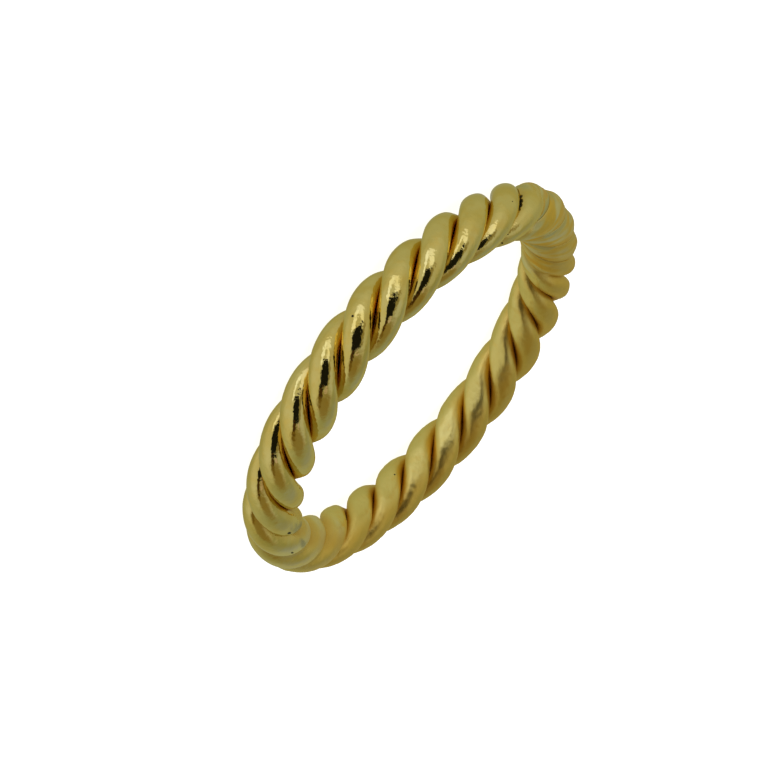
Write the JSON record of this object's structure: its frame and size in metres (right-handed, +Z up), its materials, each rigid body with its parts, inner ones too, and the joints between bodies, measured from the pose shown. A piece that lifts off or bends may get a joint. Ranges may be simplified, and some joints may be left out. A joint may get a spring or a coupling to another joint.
{
  "type": "braided ring",
  "caption": "Finger ring of polished yellow gold: wires twisted together like a rope, bent into a circle and joined end to end, lying on its side.",
  "frame": {"origin": "on the surface that the ring lies on, under the middle of the finger opening", "axes": "+Z up along the finger's axis, -Y towards the viewer of the picture"},
  "size_m": [0.0226, 0.0226, 0.0028],
  "materials": {
    "gold": "polished yellow gold with fine wear"
  },
  "bodies": {
    "root": {"strand_1": "gold", "strand_2": "gold", "strand_3": "gold"}
  },
  "joints": []
}
